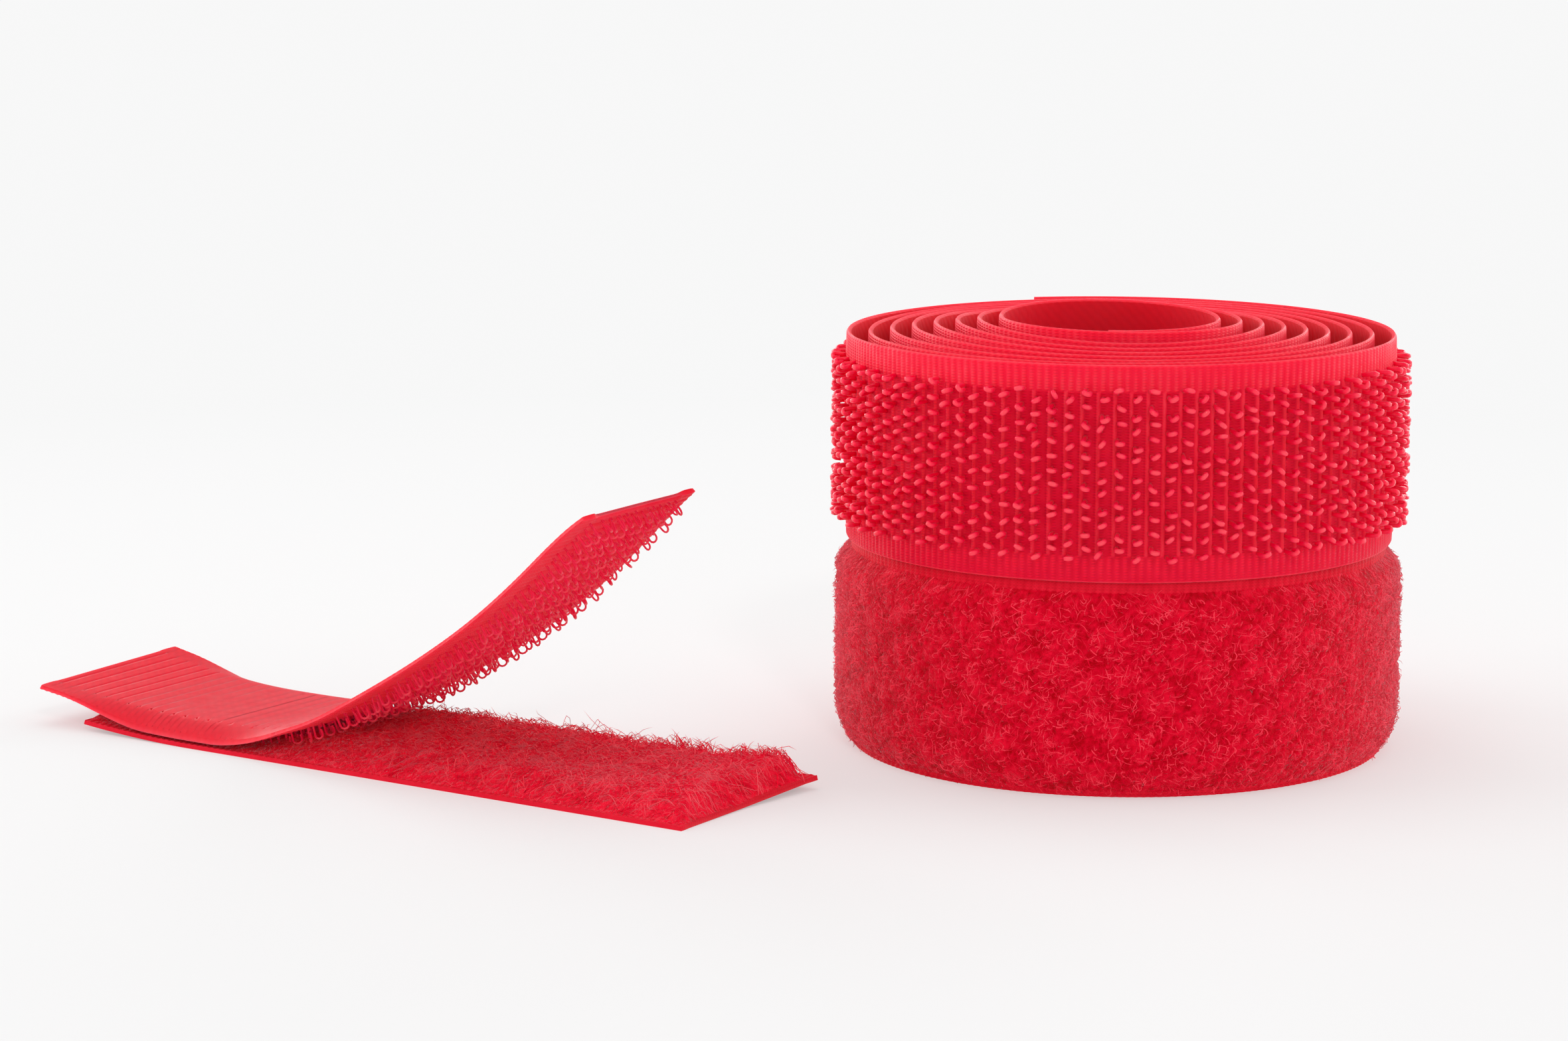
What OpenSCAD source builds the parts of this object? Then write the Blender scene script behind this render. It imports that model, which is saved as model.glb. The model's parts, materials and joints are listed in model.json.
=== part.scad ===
// Hook-and-loop fastener tape: a roll of hook tape standing on a roll of loop tape,
// with a cut hook strip pressed on a cut loop strip and peeled part of the way off.

/* [Tape] */
// Width of both tapes
tape_w = 20; // [16:1:30]
// Thickness of the woven ground
tape_t = 0.4; // [0.3:0.05:0.6]

/* [Hooks] */
// Height of a hook above the ground
hook_h = 1.6; // [1.2:0.1:2]
// Width of the plain selvedge beside the hooks
hook_edge = 2.5; // [2:0.1:4]
// Thickness of a hook's strand
hook_d = 0.34; // [0.25:0.01:0.45]
// How far a hook's end reaches along the tape
hook_reach = 0.95; // [0.7:0.05:1.2]
// Rows of hooks across the tape
hook_rows = 5; // [4:1:6]
// Spacing of the hooks along the tape
hook_spacing = 3.4; // [3:0.1:4.5]
// Thickness of the ground slice that the hooks grow from
hook_slice = 0.12; // [0.1:0.02:0.2]

/* [Pile] */
// Height of the loop pile where nothing presses on it
pile_h = 1.75; // [1.4:0.05:2.2]
// Height of the pile between the turns of its roll
pile_wound = 1.3; // [1:0.05:1.6]
// Height of the pile under the hooks that hold it
pile_pressed = 0.6; // [0.4:0.05:0.8]
// Width of the bare edge beside the pile
pile_edge = 0.8; // [0.5:0.1:1.5]
// Width and height of the pile's sloping shoulders
pile_shoulder = 0.6; // [0.4:0.05:0.9]

/* [Rolls] */
// Inner radius of the hook roll's first turn, which was wound on a mandrel
hook_eye_r = 10.2; // [8:0.1:14]
// Inner radius of the loop roll's first turn
loop_eye_r = 10; // [8:0.1:14]
// Half turns in each winding before its outer end
half_turns = 16; // [10:2:16]
// Slack between the hooks and the next turn
hook_slack = 0.1; // [0.05:0.01:0.3]
// Slack between the wound pile and the next turn
pile_slack = 0.35; // [0.25:0.01:0.5]
// Angle of the outer end that pulls away from the roll, in degrees
tail_angle = 40; // [30:1:60]
// Where the outer end starts to pull away, in degrees from the right
tail_from = 60; // [40:1:80]
// Gap between the two rolls
stack_gap = 0.1; // [0.05:0.01:0.2]

/* [Strips] */
// Length of the loop strip
loop_strip_len = 72; // [68:1:90]
// Length that the hook strip reaches past the loop strip's left end
overhang = 6; // [4:0.5:8]
// Length of the hook strip that still holds
held_len = 28; // [25:0.5:34]
// Length of each of the two short stretches that bend
bend_len = 5; // [4:0.5:6]
// Length of the free end
free_len = 37; // [30:1:40]
// Bend at each hinge line of the peeled end, in degrees
bend_angle = 12; // [8:1:14]
// Length of the left end that curls up off the table
curl_len = 20; // [14:1:22]
// Radius of that curl
curl_r = 130; // [80:1:180]

/* [Layout] */
// Left end of the hook strip, to the left of the rolls' eye
strip_left = 105; // [100:1:130]
// Left end of the hook strip, behind the rolls' eye
strip_back = 8.8; // [5:0.1:15]
// Turn of the strips towards the front, in degrees
strip_turn = 36; // [30:1:40]

/* [Hidden] */
$fn = 120;

// Clearances
layer_gap = 0.05;     // between layers that only touch
tip_gap = 0.1;        // from the hook tips to the loop ground when the strip is pressed home
hinge_gap = 0.15;     // from a hinge line to the tape on each side of it
pile_hinge_gap = 1.5; // from a hinge line to the pile on each side of it
hook_seat = 0.1;      // from the curved ground to the flat foot of the hooks' slice

// Lengths to a thousandth of a millimetre and angles to a hundredth of a degree, so that arcs meet exactly
function to_micron(length) = round(length * 1000) / 1000;
function to_hundredth(angle) = round(angle * 100) / 100;

// The windings
eye_start = -97;                                     // start of the first turn, in degrees
hook_step = to_micron((tape_t + hook_h + hook_slack) / 2);      // radial step of half a turn of hook tape
loop_step = to_micron((tape_t + pile_wound + pile_slack) / 2);  // radial step of half a turn of loop tape
hook_winding = [hook_eye_r, hook_step];
loop_winding = [loop_eye_r, loop_step];
tail_hinge = half_turns * 180 + tail_from;           // winding angle at the tail's hinge line
tail_end = tail_hinge + tail_angle;                    // winding angle at the tail's cut end
hook_roll_z = tape_w + stack_gap;                    // height of the hook roll's lower edge

// The strips, along the strip from the hook strip's left end, and up from the table
loop_x0 = overhang;
loop_x1 = overhang + loop_strip_len;
pile_z = tape_t + layer_gap;                         // foot of the pile
pressed_z = pile_z + pile_pressed;                   // top of the pressed pile
held_z = tape_t + hook_h + tip_gap;                  // under face of the hook strip's ground
back_z = held_z + tape_t;                            // its back face, which carries the hinge lines
pile_full_x = held_len + 2 * bend_len;               // where the pile stands up to its full height

// A two-centre spiral: half turns about the eye's axis and about a centre one step to its right.
// Every half turn is a true arc, and it meets the next one without a kink.
function half_of(angle) = max(0, floor(angle / 180));
// A winding is [radius of its eye, radial step of half a turn].
function half_centre(i, winding) = i % 2 == 0 ? 0 : winding[1];
function half_radius(i, winding) = winding[0] + i * winding[1];
function wound_point(angle, height, winding) =
    let (i = half_of(angle), r = half_radius(i, winding) + tape_t + height)
    [half_centre(i, winding) + r * cos(angle), r * sin(angle)];

// Least distance from the outside of one turn to the inside of the next, on points 5 degrees apart.
function turn_clearance(winding) = min([
    for (a = [eye_start : 5 : tail_end - 360], b = [a + 320 : 5 : min(a + 400, tail_end)])
        norm(wound_point(a, 0, winding) - wound_point(b, -tape_t, winding))
]);
echo(least_gap_between_hook_turns = turn_clearance(hook_winding));
echo(least_gap_between_loop_turns = turn_clearance(loop_winding));

// Radius of the outermost turn, and the angle that one millimetre of it spans
outer_r = half_radius(half_turns, hook_winding) + tape_t;
degrees_per_mm = 180 / (PI * outer_r);

// A profile in (height above the ground, place across the tape) swept along the winding.
module along_winding(winding, from, to) {
    for (i = [half_of(from) : ceil(to / 180) - 1]) {
        turned = floor(i / 2) * 360;
        a0 = to_hundredth((i == 0 ? from : max(from, i * 180)) - turned);
        a1 = to_hundredth(min(to, (i + 1) * 180) - turned);
        translate([half_centre(i, winding), 0, 0])
            rotate_extrude(angle = a1 - a0, start = a0)
                translate([half_radius(i, winding) + tape_t, 0])
                    children();
    }
}

module ground_profile() {
    translate([-tape_t, 0]) square([tape_t, tape_w]);
}

// Cross-section of the pile that stands free: flat at its foot, with sloping shoulders.
module pile_profile() {
    polygon([
        [layer_gap, pile_edge],
        [pile_h - pile_shoulder, pile_edge],
        [pile_h, pile_edge + pile_shoulder],
        [pile_h, tape_w - pile_edge - pile_shoulder],
        [pile_h - pile_shoulder, tape_w - pile_edge],
        [layer_gap, tape_w - pile_edge]
    ]);
}

module wound_pile_profile() {
    translate([layer_gap, pile_edge]) square([pile_wound - layer_gap, tape_w - 2 * pile_edge]);
}

// A slice of ground with rows of bent hooks, as one closed skin. place(u, v, h) puts a point that is
// u along the tape, v across it and h above it; u, v and h are right-handed.
module hook_field(place, u0, u1, height, seat) {
    columns = max(2, floor((u1 - u0) / hook_spacing));
    step_u = (u1 - u0) / columns;
    v0 = hook_edge;
    v1 = tape_w - hook_edge;
    step_v = (v1 - v0) / hook_rows;
    lines_u = [u0, for (c = [0 : columns - 1], s = [-0.5, 0.5])
        u0 + (c + 0.5) * step_u - hook_reach / 2 + s * hook_d, u1];
    lines_v = [v0, for (r = [0 : hook_rows - 1], s = [-0.5, 0.5])
        v0 + (r + 0.5) * step_v + s * hook_d, v1];
    nu = len(lines_u);
    nv = len(lines_v);
    top = seat + hook_slice;
    crown_in = height - 1.5 * hook_d;      // underside of the bend
    tip_h = top + (height - top) * 0.45;   // height of the cut end

    skin = [for (u = lines_u, v = lines_v) place(u, v, top)];
    foot = [for (u = lines_u, v = [v0, v1]) place(u, v, seat)];
    hooks = [for (c = [0 : columns - 1], r = [0 : hook_rows - 1])
        let (u = (lines_u[2 * c + 1] + lines_u[2 * c + 2]) / 2, va = lines_v[2 * r + 1], vb = lines_v[2 * r + 2])
        each [
            place(u + hook_reach / 2, va, height), place(u + hook_reach / 2, vb, height),
            place(u + hook_reach / 2, vb, crown_in), place(u + hook_reach / 2, va, crown_in),
            place(u + hook_reach + hook_d / 2, va, tip_h), place(u + hook_reach + hook_d / 2, vb, tip_h),
            place(u + hook_reach - hook_d / 2, vb, tip_h), place(u + hook_reach - hook_d / 2, va, tip_h)
        ]];
    function skin_at(i, j) = i * nv + j;
    function foot_at(i, k) = nu * nv + 2 * i + k;
    function ring(c, r, k) =
        k == 0 ? [skin_at(2 * c + 1, 2 * r + 1), skin_at(2 * c + 1, 2 * r + 2),
                  skin_at(2 * c + 2, 2 * r + 2), skin_at(2 * c + 2, 2 * r + 1)]
               : [for (q = [0 : 3]) nu * nv + 2 * nu + 8 * (c * hook_rows + r) + 4 * (k - 1) + q];
    function quad(a, b, c, d) = [[c, b, a], [d, c, a]];
    last = nu - 1;

    polyhedron(
        points = concat(skin, foot, hooks),
        faces = [
            // the skin between the hooks
            for (i = [0 : nu - 2], j = [0 : nv - 2]) if (i % 2 == 0 || j % 2 == 0)
                each quad(skin_at(i, j), skin_at(i + 1, j), skin_at(i + 1, j + 1), skin_at(i, j + 1)),
            // the foot and the two long edges
            for (i = [0 : nu - 2]) each concat(
                quad(foot_at(i, 0), foot_at(i, 1), foot_at(i + 1, 1), foot_at(i + 1, 0)),
                quad(foot_at(i, 0), foot_at(i + 1, 0), skin_at(i + 1, 0), skin_at(i, 0)),
                quad(foot_at(i + 1, 1), foot_at(i, 1), skin_at(i, nv - 1), skin_at(i + 1, nv - 1))),
            // the two ends
            [skin_at(0, 0), foot_at(0, 0), foot_at(0, 1)],
            [skin_at(last, nv - 1), foot_at(last, 1), foot_at(last, 0)],
            for (j = [0 : nv - 2]) each [
                [skin_at(0, j + 1), skin_at(0, j), foot_at(0, 1)],
                [skin_at(last, j), skin_at(last, j + 1), foot_at(last, 0)]
            ],
            // the hooks: two stretches and a cut end
            for (c = [0 : columns - 1], r = [0 : hook_rows - 1]) each concat(
                [for (k = [0, 1], q = [0 : 3])
                    let (a = ring(c, r, k), b = ring(c, r, k + 1), n = (q + 1) % 4)
                    each quad(a[q], b[q], b[n], a[n])],
                quad(ring(c, r, 2)[3], ring(c, r, 2)[2], ring(c, r, 2)[1], ring(c, r, 2)[0]))
        ]);
}

// The field on the outer turn of the hook roll, between two winding angles.
module wound_hooks(from, to) {
    along = function (u, v, h)
        let (p = wound_point(from + u * degrees_per_mm, h, hook_winding)) [p[0], p[1], hook_roll_z + v];
    hook_field(along, 0, (to - from) / degrees_per_mm, hook_h, hook_seat);
}

// The field on the under face of a flat stretch of the hook strip.
module flat_hooks(from, to, height) {
    under = function (u, v, h) [u, tape_w - v, -tape_t - h];
    hook_field(under, from, to, height, 0);
}

// Loop roll
module loop_roll_tape() {
    color("crimson") along_winding(loop_winding, eye_start, tail_hinge - hinge_gap * degrees_per_mm)
        ground_profile();
}

module loop_roll_inner_pile() {
    color("firebrick") along_winding(loop_winding, 0, tail_end - 360) wound_pile_profile();
}

module loop_roll_pile() {
    color("red") along_winding(loop_winding, tail_end - 360 + pile_hinge_gap * degrees_per_mm,
                               tail_hinge - pile_hinge_gap * degrees_per_mm)
        pile_profile();
}

module loop_roll_tail_tape() {
    color("crimson") along_winding(loop_winding, tail_hinge + hinge_gap * degrees_per_mm, tail_end)
        ground_profile();
}

module loop_roll_tail_pile() {
    color("red") along_winding(loop_winding, tail_hinge + pile_hinge_gap * degrees_per_mm, tail_end)
        pile_profile();
}

// Hook roll
module hook_roll_tape() {
    color("crimson") translate([0, 0, hook_roll_z])
        along_winding(hook_winding, eye_start, tail_hinge - hinge_gap * degrees_per_mm) ground_profile();
}

// The hooks of the outer turn, in quarters that leave the eye open to collision.
module quarter_of_hooks(n) {
    from = tail_end - 360 + pile_hinge_gap * degrees_per_mm;
    quarter = (tail_hinge - hinge_gap * degrees_per_mm - from) / 4;
    color("red") wound_hooks(from + n * quarter, from + (n + 1) * quarter - layer_gap * degrees_per_mm);
}

module hook_roll_back_left_hooks() {
    quarter_of_hooks(0);
}

module hook_roll_front_left_hooks() {
    quarter_of_hooks(1);
}

module hook_roll_front_right_hooks() {
    quarter_of_hooks(2);
}

module hook_roll_back_right_hooks() {
    quarter_of_hooks(3);
}

module hook_roll_tail_tape() {
    color("crimson") translate([0, 0, hook_roll_z])
        along_winding(hook_winding, tail_hinge + hinge_gap * degrees_per_mm, tail_end) ground_profile();
}

module hook_roll_tail_hooks() {
    color("red") wound_hooks(tail_hinge + hinge_gap * degrees_per_mm, tail_end);
}

// Puts the strips beside the rolls.
module strip_place() {
    translate([-strip_left, strip_back, 0]) rotate([0, 0, -strip_turn]) children();
}

// A layer of the strips: flat on the right, curled up on the left.
module strip_layer(x0, x1, z0, z1, edge) {
    flat_x0 = max(x0, curl_len);
    translate([flat_x0, edge, z0]) cube([x1 - flat_x0, tape_w - 2 * edge, z1 - z0]);
    if (x0 < curl_len) {
        arc = (curl_len - x0) / curl_r * 180 / PI;
        translate([curl_len, 0, curl_r]) mirror([1, 0, 0]) rotate([90, 0, 0])
            rotate_extrude(angle = arc, start = 270)
                translate([curl_r - z1, edge - tape_w]) square([z1 - z0, tape_w - 2 * edge]);
    }
}

// Carries its children to hinge line number n of the peeled end, counted from the held stretch.
module peel_frame(n) {
    if (n == 0) {
        translate([held_len, 0, back_z]) rotate([0, -bend_angle, 0]) children();
    } else {
        peel_frame(n - 1) translate([bend_len, 0, 0]) rotate([0, -bend_angle, 0]) children();
    }
}

module peel_tape(length) {
    translate([hinge_gap, 0, -tape_t]) cube([length - hinge_gap, tape_w, tape_t]);
}

// Loop strip
module loop_strip_tape() {
    color("crimson") strip_place() strip_layer(loop_x0, loop_x1, 0, tape_t, 0);
}

module loop_strip_pressed_pile() {
    color("firebrick") strip_place() strip_layer(loop_x0, held_len, pile_z, pressed_z, pile_edge);
}

// The free pile stands up from under the peeled end and is full height past the bend.
module loop_strip_pile() {
    side = [[held_len, 0], [held_len, pressed_z], [pile_full_x, tape_t + pile_h],
            [loop_x1, tape_t + pile_h], [loop_x1, 0]];
    color("red") strip_place() intersection() {
        translate([0, tape_w, 0]) rotate([90, 0, 0]) linear_extrude(tape_w) polygon(side);
        translate([held_len + layer_gap, 0, tape_t]) rotate([0, 90, 0]) rotate([0, 0, 180]) mirror([0, 1, 0])
            linear_extrude(loop_x1 - held_len - layer_gap) pile_profile();
    }
}

// Hook strip, held stretch
module hook_strip_tape() {
    color("crimson") strip_place() strip_layer(0, held_len - hinge_gap, held_z, back_z, 0);
}

module hook_strip_held_hooks() {
    color("red") strip_place() strip_layer(loop_x0, held_len, pressed_z + layer_gap, held_z - layer_gap, hook_edge);
}

// Hook strip, peeled end: two short stretches that bend and a long free end.
// The hooks of the bending stretches are still partly sunk in the pile, so less of them stands clear.
module peel_root_tape() {
    color("crimson") strip_place() peel_frame(0) peel_tape(bend_len - hinge_gap);
}

module peel_root_hooks() {
    color("red") strip_place() peel_frame(0) flat_hooks(hinge_gap, bend_len - hinge_gap, hook_h * 0.5);
}

module peel_bend_tape() {
    color("crimson") strip_place() peel_frame(1) peel_tape(bend_len - hinge_gap);
}

module peel_bend_hooks() {
    color("red") strip_place() peel_frame(1) flat_hooks(hinge_gap, bend_len - hinge_gap, hook_h * 0.8);
}

module peel_end_tape() {
    color("crimson") strip_place() peel_frame(2) peel_tape(free_len);
}

module peel_end_hooks() {
    color("red") strip_place() peel_frame(2) flat_hooks(hinge_gap, free_len, hook_h);
}

loop_roll_tape();
loop_roll_inner_pile();
loop_roll_pile();
loop_roll_tail_tape();
loop_roll_tail_pile();
hook_roll_tape();
hook_roll_back_left_hooks();
hook_roll_front_left_hooks();
hook_roll_front_right_hooks();
hook_roll_back_right_hooks();
hook_roll_tail_tape();
hook_roll_tail_hooks();
loop_strip_tape();
loop_strip_pressed_pile();
loop_strip_pile();
hook_strip_tape();
hook_strip_held_hooks();
peel_root_tape();
peel_root_hooks();
peel_bend_tape();
peel_bend_hooks();
peel_end_tape();
peel_end_hooks();
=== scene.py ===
# %% [markdown]
# # Hook-and-loop fastener tape
# A roll of hook tape stands on a roll of loop tape. Beside them a cut hook strip is pressed on a cut
# loop strip and peeled part of the way off. Everything is the same red nylon, so the lesson is about
# form: a woven ground, thousands of small bent hooks, and a soft nap of loops.
#
# Each tape is first made flat, with x along it, y across it and z above it, and is then laid on its
# path: a spiral for the rolls, a gentle curve for the strips. That is how the real tape is made too.

# %% Frame and sizes
import json
import math

import bpy
import numpy as np
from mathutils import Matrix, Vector


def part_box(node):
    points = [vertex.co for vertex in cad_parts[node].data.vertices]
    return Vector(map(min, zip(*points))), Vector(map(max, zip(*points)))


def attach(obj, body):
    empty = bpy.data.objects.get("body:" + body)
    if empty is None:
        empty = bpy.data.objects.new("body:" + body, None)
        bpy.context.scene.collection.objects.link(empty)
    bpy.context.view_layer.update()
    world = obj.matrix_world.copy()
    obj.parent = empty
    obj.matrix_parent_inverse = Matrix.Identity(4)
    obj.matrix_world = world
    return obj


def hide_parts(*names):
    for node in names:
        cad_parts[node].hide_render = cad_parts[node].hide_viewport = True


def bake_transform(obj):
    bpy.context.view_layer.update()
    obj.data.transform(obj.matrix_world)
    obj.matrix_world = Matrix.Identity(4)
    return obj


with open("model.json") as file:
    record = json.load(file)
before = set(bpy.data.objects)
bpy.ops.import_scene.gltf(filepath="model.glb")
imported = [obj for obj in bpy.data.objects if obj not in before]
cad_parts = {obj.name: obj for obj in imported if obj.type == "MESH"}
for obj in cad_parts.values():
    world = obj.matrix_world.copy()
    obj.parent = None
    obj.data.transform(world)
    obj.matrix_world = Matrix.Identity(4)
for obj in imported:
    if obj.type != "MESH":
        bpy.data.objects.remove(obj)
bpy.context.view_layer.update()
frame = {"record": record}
record = frame["record"]
joints = {joint["name"]: joint for joint in record["behaviour"]["joints"]}
mounts = {mount["name"]: mount for mount in record["mounts"]}

MM = 0.001
TAPE_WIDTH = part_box("loop_roll_tape")[1][2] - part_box("loop_roll_tape")[0][2]
HOOK_ROLL_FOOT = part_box("hook_roll_tape")[0][2]
GROUND = 0.4 * MM
HOOK_HEIGHT = 1.6 * MM
print("tape", round(TAPE_WIDTH / MM, 2), "mm wide; upper roll starts", round(HOOK_ROLL_FOOT / MM, 2), "mm up")

# %% [markdown]
# ## Camera
# The camera stands low and well back, with a long lens, so the rolls' rims show as thin ellipses. Its
# place was fitted to the rims and to the edges of the strips.

# %% Camera
bpy.ops.object.select_all(action="DESELECT")
bpy.ops.object.camera_add(location=(-44.99 * MM, -393.73 * MM, 89.76 * MM))
camera = bpy.context.object
yaw, pitch = 0.0345, 0.1714
ahead = Vector((math.sin(yaw) * math.cos(pitch), math.cos(yaw) * math.cos(pitch), -math.sin(pitch)))
camera.rotation_euler = ahead.to_track_quat("-Z", "Y").to_euler()
camera.data.sensor_width = 36
camera.data.lens = 94.69
camera.data.clip_start = 0.01
bpy.context.scene.camera = camera
bpy.context.scene.view_settings.view_transform = "Standard"
print("camera", [round(x / MM, 1) for x in camera.location], "mm, lens", round(camera.data.lens, 1))

# %% [markdown]
# ## Shader helpers
# Every finish below is made of nodes. These few functions add a node, set or link its sockets, and start a
# material, so that each finish reads as a short list of steps.

# %% Shader helpers
def put(tree, socket, value):
    """Links a socket to another one, or sets a plain value on it."""
    if isinstance(value, bpy.types.NodeSocket):
        tree.links.new(value, socket)
    else:
        socket.default_value = value


def add(tree, kind, **settings):
    """A new node with its settings; a key that isn't a setting of the node names one of its inputs."""
    node = tree.nodes.new(kind)
    for key, value in settings.items():
        if hasattr(node, key):
            setattr(node, key, value)
        else:
            put(tree, node.inputs[key.replace("_", " ")], value)
    return node


def maths(tree, operation, a, b):
    """A Math node on two sockets or numbers; returns its output."""
    node = add(tree, "ShaderNodeMath", operation=operation)
    put(tree, node.inputs[0], a)
    put(tree, node.inputs[1], b)
    return node.outputs[0]


def ranged(tree, value, low, high, start=0.0, end=1.0):
    """Maps a value between start and end to a value between low and high."""
    return add(tree, "ShaderNodeMapRange", Value=value, From_Min=start, From_Max=end, To_Min=low,
               To_Max=high).outputs["Result"]


def new_material(name, **constants):
    """A node material, its tree and its Principled shader, with plain values set on the shader's sockets."""
    material = bpy.data.materials.new(name)
    material.use_nodes = True
    shader = material.node_tree.nodes["Principled BSDF"]
    for key, value in constants.items():
        shader.inputs[key.replace("_", " ")].default_value = value
    return material, material.node_tree, shader


# %% [markdown]
# ## Floor and light
# The set is a white light tent: a pale floor and large soft lamps above, in front and at the sides. Two low
# lamps behind make the nap and the hooks glow at the rolls' edges. One small lamp gives the glints on the
# hooks. Near the object the floor is matte paper that takes its shadow. Further off the camera sees it as
# plain white, because a tent has no dark end.

# %% Floor and light
middle = (-0.04, 0.0, 0.02)
paper, paper_tree, paper_shader = new_material(
    "floor_paper", Base_Color=(0.81, 0.805, 0.805, 1), Roughness=0.9, Specular_IOR_Level=0.1)
floor_place = add(paper_tree, "ShaderNodeTexCoord")
away = add(paper_tree, "ShaderNodeVectorMath", operation="DISTANCE")
put(paper_tree, away.inputs[0], floor_place.outputs["Object"])
away.inputs[1].default_value = middle
far_off = ranged(paper_tree, away.outputs["Value"], 0.38, 1, 0.08, 0.24)
ray = add(paper_tree, "ShaderNodeLightPath")
seen = maths(paper_tree, "MAXIMUM", ray.outputs["Is Camera Ray"], ray.outputs["Is Glossy Ray"])
seen = maths(paper_tree, "MAXIMUM", seen, ray.outputs["Is Transmission Ray"])
white = add(paper_tree, "ShaderNodeEmission", Color=(0.935, 0.935, 0.935, 1), Strength=1.0)
either = add(paper_tree, "ShaderNodeMixShader")
put(paper_tree, either.inputs[0], maths(paper_tree, "MULTIPLY", far_off, seen))
put(paper_tree, either.inputs[1], paper_shader.outputs["BSDF"])
put(paper_tree, either.inputs[2], white.outputs["Emission"])
put(paper_tree, paper_tree.nodes["Material Output"].inputs["Surface"], either.outputs["Shader"])

bpy.ops.object.select_all(action="DESELECT")
bpy.ops.mesh.primitive_plane_add(size=8)
floor = bpy.context.object
floor.name = "floor"
floor.data.materials.append(paper)


def soft_lamp(name, place, width, height, watts):
    """A rectangular lamp that faces the middle of the object."""
    bpy.ops.object.select_all(action="DESELECT")
    bpy.ops.object.light_add(type="AREA", location=place)
    lamp = bpy.context.object
    lamp.name = name
    lamp.data.shape = "RECTANGLE"
    lamp.data.size, lamp.data.size_y = width, height
    lamp.data.energy = watts
    lamp.rotation_euler = (Vector(middle) - Vector(place)).to_track_quat("-Z", "Y").to_euler()


soft_lamp("lamp_above", (-0.10, 0.10, 0.95), 1.1, 0.9, 3.2)
soft_lamp("lamp_front", (0.06, -0.88, 0.16), 0.9, 0.25, 1.2)
soft_lamp("lamp_left", (-0.82, 0.12, 0.30), 0.7, 0.6, 3.0)
soft_lamp("lamp_right", (0.78, 0.12, 0.30), 0.7, 0.6, 2.4)
soft_lamp("lamp_back_left", (-0.50, 0.75, 0.22), 0.5, 0.4, 2.0)
soft_lamp("lamp_back_right", (0.55, 0.70, 0.22), 0.5, 0.4, 2.0)
soft_lamp("lamp_glint", (0.10, -0.80, 0.55), 0.10, 0.10, 1.2)
world = bpy.data.worlds.new("tent")
world.use_nodes = True
world.node_tree.nodes["Background"].inputs["Color"].default_value = (1, 1, 1, 1)
world.node_tree.nodes["Background"].inputs["Strength"].default_value = 0.53
bpy.context.scene.world = world
print("seven lamps and a pale floor")

# %% [markdown]
# ## Finishes
# All the finishes share one idea. Each point of a mesh carries a tint, a number from deep to pale, and the
# finish turns it into a red. Much of the tint is painted light: painted shade between the hooks, on the bare
# loop ground and in the nap's pits, and painted highlights on crests, hook tops and the hook tapes' rims. A
# node group adds a drift to it, so that the red changes a little from place to place. A second group draws
# the weave of the ground on the tape's own flat map: threads along and across on its face, and a fine
# diagonal twill on its back; the finish also uses its height as painted shade in the weave's hollows.

# %% Node groups
def new_group(name, inputs, outputs):
    """An empty shader group of number sockets; inputs have default values."""
    group = bpy.data.node_groups.new(name, "ShaderNodeTree")
    for label, default in inputs.items():
        socket = group.interface.new_socket(label, in_out="INPUT", socket_type="NodeSocketFloat")
        socket.default_value = default
    for label in outputs:
        group.interface.new_socket(label, in_out="OUTPUT", socket_type="NodeSocketFloat")
    return group, group.nodes.new("NodeGroupInput").outputs, group.nodes.new("NodeGroupOutput").inputs


nylon, nylon_in, nylon_out = new_group("nylon_drift", {"Scale": 400.0}, ["Drift"])
nylon_place = add(nylon, "ShaderNodeTexCoord")
cloud = add(nylon, "ShaderNodeTexNoise", Detail=4.0, Roughness=0.62, Vector=nylon_place.outputs["Object"],
            Scale=nylon_in["Scale"])
drift = add(nylon, "ShaderNodeClamp", Min=-0.5, Max=0.5,
            Value=maths(nylon, "MULTIPLY", maths(nylon, "SUBTRACT", cloud.outputs["Fac"], 0.5), 2.4))
put(nylon, nylon_out["Drift"], drift.outputs["Result"])

weave, weave_in, weave_out = new_group(
    "ground_weave", {"Along": 38.0, "Across": 13.7, "Back": 0.0}, ["Height"])
flat_map = add(weave, "ShaderNodeUVMap", uv_map="tape_flat")
split = add(weave, "ShaderNodeSeparateXYZ", Vector=flat_map.outputs["UV"])
TWILL = 9.0


def thread_wave(place, count):
    """A wave between -1 and 1 with so many threads to the centimetre."""
    turns = maths(weave, "MULTIPLY", place, count)
    return maths(weave, "SINE", maths(weave, "MULTIPLY", turns, 2 * math.pi), 0)


warp = thread_wave(split.outputs["Y"], weave_in["Along"])
weft = thread_wave(split.outputs["X"], weave_in["Across"])
twill = thread_wave(maths(weave, "SUBTRACT", split.outputs["X"], split.outputs["Y"]), TWILL)
plain = maths(weave, "ADD", maths(weave, "MULTIPLY", warp, 0.35),
              maths(weave, "MULTIPLY", maths(weave, "MULTIPLY", warp, weft), 0.5))
turned = maths(weave, "MULTIPLY", maths(weave, "ADD", twill, maths(weave, "MULTIPLY", plain, 0.3)), 0.2)
face = add(weave, "ShaderNodeMix", data_type="FLOAT", Factor=weave_in["Back"], A=plain, B=turned)
halved = maths(weave, "MULTIPLY", face.outputs["Result"], 0.5)
put(weave, weave_out["Height"], maths(weave, "ADD", halved, 0.5))
print("node groups", [g.name for g in (nylon, weave)])

# %% [markdown]
# The ground is semi-matte with a fine weave and a paler back. The hooks are thick smooth filament with small
# bright glints. The nap is many thin fibres over a deep red felt whose pits are painted deeper as painted
# shade. A little sheen gives the pale look that nylon has at a grazing angle. The strip's nap is painted
# paler than the roll's, as painted light.

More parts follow.
